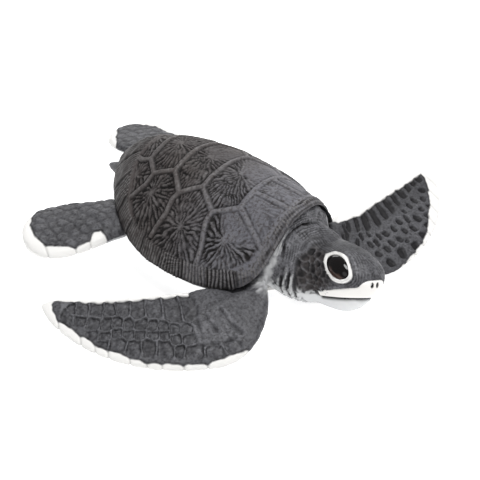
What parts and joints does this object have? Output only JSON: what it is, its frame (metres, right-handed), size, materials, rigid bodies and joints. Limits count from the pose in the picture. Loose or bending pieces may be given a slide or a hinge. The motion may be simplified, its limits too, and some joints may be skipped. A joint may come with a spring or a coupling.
{
  "type": "moulded vinyl sea turtle figure",
  "caption": "Hand-painted soft-vinyl figure of a hatchling sea turtle crawling on outspread flippers, head raised and turned to its right.",
  "frame": {"origin": "middle of the figure's footprint, on the surface it stands on", "axes": "head towards -Y, the turtle's left towards +X, up +Z"},
  "size_m": [0.1854, 0.1746, 0.0436],
  "materials": {
    "shell_vinyl": "matt dark grey paint over moulded scutes, lighter on the raised seams",
    "skin_vinyl": "matt slate-grey paint, dry-brushed lighter on the scales, white along the flipper edges",
    "belly_vinyl": "matt off-white paint",
    "beak_vinyl": "satin off-white paint",
    "jaw_vinyl": "matt pale grey paint",
    "eye_gloss": "glossy black with a dark brown lower iris"
  },
  "bodies": {
    "root": {"carapace": "shell_vinyl", "plastron": "belly_vinyl", "trunk": "skin_vinyl", "neck": "skin_vinyl", "head": "skin_vinyl", "beak": "beak_vinyl", "jaw": "jaw_vinyl", "eye_right": "eye_gloss", "eye_left": "eye_gloss", "front_flipper_right": "skin_vinyl", "front_flipper_left": "skin_vinyl", "rear_flipper_right": "skin_vinyl", "rear_flipper_left": "skin_vinyl", "tail": "skin_vinyl"}
  },
  "joints": []
}
